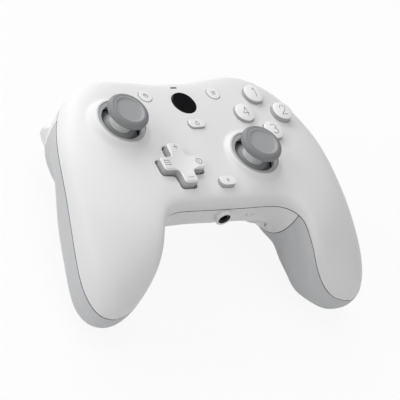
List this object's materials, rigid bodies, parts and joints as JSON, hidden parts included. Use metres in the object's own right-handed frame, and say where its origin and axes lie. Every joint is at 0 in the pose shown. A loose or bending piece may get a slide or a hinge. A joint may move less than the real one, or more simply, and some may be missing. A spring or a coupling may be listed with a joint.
{
  "type": "game controller",
  "caption": "Two-handed game controller with thumbsticks, a four-way pad, face buttons, bumpers, triggers and back buttons in a white shell with grey grips.",
  "frame": {"origin": "centre of the bounding box, at its underside, with the face plane level", "axes": "+X to the player's right, +Y away from the player towards the bumpers, +Z out of the face"},
  "size_m": [0.1496, 0.1068, 0.059],
  "materials": {
    "white_shell": "fine matt texture",
    "white_button": "satin",
    "black_gloss": "gloss",
    "smoked_window": "gloss",
    "grey_grip": "fine grip texture",
    "grey_stick": "soft satin",
    "grey_ring": "satin",
    "circuit_board": "solder mask",
    "pad_rubber": "matt",
    "brass": "turned",
    "black_plastic": "moulded",
    "steel": "plated",
    "inner_plastic": "moulded"
  },
  "bodies": {
    "body": {"front_shell": "white_shell", "rear_shell": "white_shell", "shell_screws": "steel", "upper_board": "circuit_board", "main_board": "circuit_board", "board_spacers": "brass", "headset_jack": "black_plastic", "usb_socket": "steel", "status_light": "smoked_window", "dpad_yoke": "inner_plastic", "dpad_pad": "pad_rubber", "face_button_pad": "pad_rubber", "centre_button_pads": "pad_rubber", "left_stick_housing": "steel", "left_stick_socket_ring": "grey_ring", "left_grip_panel": "grey_grip", "left_bumper_pin": "steel", "left_trigger_pin": "steel", "left_trigger_bracket": "inner_plastic", "left_rumble_motor": "steel", "right_stick_housing": "steel", "right_stick_socket_ring": "grey_ring", "right_grip_panel": "grey_grip", "right_bumper_pin": "steel", "right_trigger_pin": "steel", "right_trigger_bracket": "inner_plastic", "right_rumble_motor": "steel"},
    "upper_face_button": {"upper_face_button": "white_button"},
    "left_face_button": {"left_face_button": "white_button"},
    "right_face_button": {"right_face_button": "white_button"},
    "lower_face_button": {"lower_face_button": "white_button"},
    "view_button": {"view_button": "white_button"},
    "menu_button": {"menu_button": "white_button"},
    "share_button": {"share_button": "white_button"},
    "mode_button": {"mode_button": "white_button"},
    "home_button": {"home_button": "black_gloss"},
    "left_stick_press": {"left_stick_carrier": "inner_plastic"},
    "left_stick_tilt": {"left_stick_tilt_ring": "steel"},
    "left_stick": {"left_stick_stem": "steel", "left_stick_cap": "grey_stick"},
    "left_bumper": {"left_bumper": "white_shell"},
    "left_trigger": {"left_trigger": "white_shell"},
    "left_back_button": {"left_back_button": "white_shell"},
    "left_rumble_weight": {"left_rumble_weight": "steel"},
    "right_stick_press": {"right_stick_carrier": "inner_plastic"},
    "right_stick_tilt": {"right_stick_tilt_ring": "steel"},
    "right_stick": {"right_stick_stem": "steel", "right_stick_cap": "grey_stick"},
    "right_bumper": {"right_bumper": "white_shell"},
    "right_trigger": {"right_trigger": "white_shell"},
    "right_back_button": {"right_back_button": "white_shell"},
    "right_rumble_weight": {"right_rumble_weight": "steel"},
    "dpad_tilt": {"dpad_tilt_ring": "inner_plastic"},
    "dpad": {"dpad": "white_button"}
  },
  "joints": [
    {"name": "upper_face_button_press", "type": "slide", "parent": "body", "child": "upper_face_button", "axis": [0, 0, -1], "range_m": [0, 0.001], "stiffness_N_per_m": 500},
    {"name": "left_face_button_press", "type": "slide", "parent": "body", "child": "left_face_button", "axis": [0, 0, -1], "range_m": [0, 0.001], "stiffness_N_per_m": 500},
    {"name": "right_face_button_press", "type": "slide", "parent": "body", "child": "right_face_button", "axis": [0, 0, -1], "range_m": [0, 0.001], "stiffness_N_per_m": 500},
    {"name": "lower_face_button_press", "type": "slide", "parent": "body", "child": "lower_face_button", "axis": [0, 0, -1], "range_m": [0, 0.001], "stiffness_N_per_m": 500},
    {"name": "view_button_press", "type": "slide", "parent": "body", "child": "view_button", "axis": [0, 0, -1], "range_m": [0, 0.0006], "stiffness_N_per_m": 600},
    {"name": "menu_button_press", "type": "slide", "parent": "body", "child": "menu_button", "axis": [0, 0, -1], "range_m": [0, 0.0006], "stiffness_N_per_m": 600},
    {"name": "share_button_press", "type": "slide", "parent": "body", "child": "share_button", "axis": [0, 0, -1], "range_m": [0, 0.0006], "stiffness_N_per_m": 600},
    {"name": "mode_button_press", "type": "slide", "parent": "body", "child": "mode_button", "axis": [0, 0, -1], "range_m": [0, 0.0006], "stiffness_N_per_m": 600},
    {"name": "home_button_press", "type": "slide", "parent": "body", "child": "home_button", "axis": [0, 0, -1], "range_m": [0, 0.0006], "stiffness_N_per_m": 600},
    {"name": "left_stick_click", "type": "slide", "parent": "body", "child": "left_stick_press", "axis": [0, 0, -1], "range_m": [0, 0.0005], "stiffness_N_per_m": 3000},
    {"name": "left_stick_tilt_y", "type": "hinge", "parent": "left_stick_press", "child": "left_stick_tilt", "pos_m": [-0.0394, 0.02475, 0.03657], "axis": [1, 0, 0], "range_deg": [-15, 15], "stiffness_Nm_per_rad": 0.03},
    {"name": "left_stick_tilt_x", "type": "hinge", "parent": "left_stick_tilt", "child": "left_stick", "pos_m": [-0.0394, 0.02475, 0.03657], "axis": [0, 1, 0], "range_deg": [-15, 15], "stiffness_Nm_per_rad": 0.03},
    {"name": "left_bumper_press", "type": "hinge", "parent": "body", "child": "left_bumper", "pos_m": [-0.0236, 0.04455, 0.03257], "axis": [0, 0, 1], "range_deg": [0, 2.5], "stiffness_Nm_per_rad": 1},
    {"name": "left_trigger_pull", "type": "hinge", "parent": "body", "child": "left_trigger", "pos_m": [-0.0397, 0.03785, 0.03207], "axis": [-1, 0, 0], "range_deg": [0, 18], "stiffness_Nm_per_rad": 0.06},
    {"name": "left_back_button_press", "type": "slide", "parent": "body", "child": "left_back_button", "axis": [0, 0, 1], "range_m": [0, 0.0009], "stiffness_N_per_m": 1500},
    {"name": "left_rumble_spin", "type": "hinge", "parent": "body", "child": "left_rumble_weight", "pos_m": [-0.059, -0.00874, 0.02157], "axis": [0, 1, 0], "continuous": true},
    {"name": "right_stick_click", "type": "slide", "parent": "body", "child": "right_stick_press", "axis": [0, 0, -1], "range_m": [0, 0.0005], "stiffness_N_per_m": 3000},
    {"name": "right_stick_tilt_y", "type": "hinge", "parent": "right_stick_press", "child": "right_stick_tilt", "pos_m": [0.0217, 0.00376, 0.03657], "axis": [1, 0, 0], "range_deg": [-15, 15], "stiffness_Nm_per_rad": 0.03},
    {"name": "right_stick_tilt_x", "type": "hinge", "parent": "right_stick_tilt", "child": "right_stick", "pos_m": [0.0217, 0.00376, 0.03657], "axis": [0, 1, 0], "range_deg": [-15, 15], "stiffness_Nm_per_rad": 0.03},
    {"name": "right_bumper_press", "type": "hinge", "parent": "body", "child": "right_bumper", "pos_m": [0.0236, 0.04455, 0.03257], "axis": [0, 0, -1], "range_deg": [0, 2.5], "stiffness_Nm_per_rad": 1},
    {"name": "right_trigger_pull", "type": "hinge", "parent": "body", "child": "right_trigger", "pos_m": [0.0397, 0.03785, 0.03207], "axis": [-1, 0, 0], "range_deg": [0, 18], "stiffness_Nm_per_rad": 0.06},
    {"name": "right_back_button_press", "type": "slide", "parent": "body", "child": "right_back_button", "axis": [0, 0, 1], "range_m": [0, 0.0009], "stiffness_N_per_m": 1500},
    {"name": "right_rumble_spin", "type": "hinge", "parent": "body", "child": "right_rumble_weight", "pos_m": [0.059, -0.00874, 0.02157], "axis": [0, 1, 0], "continuous": true},
    {"name": "dpad_tilt_y", "type": "hinge", "parent": "body", "child": "dpad_tilt", "pos_m": [-0.0201, -0.00015, 0.04437], "axis": [1, 0, 0], "range_deg": [-5, 5], "stiffness_Nm_per_rad": 0.12},
    {"name": "dpad_tilt_x", "type": "hinge", "parent": "dpad_tilt", "child": "dpad", "pos_m": [-0.0201, -0.00015, 0.04437], "axis": [0, 1, 0], "range_deg": [-5, 5], "stiffness_Nm_per_rad": 0.12}
  ]
}
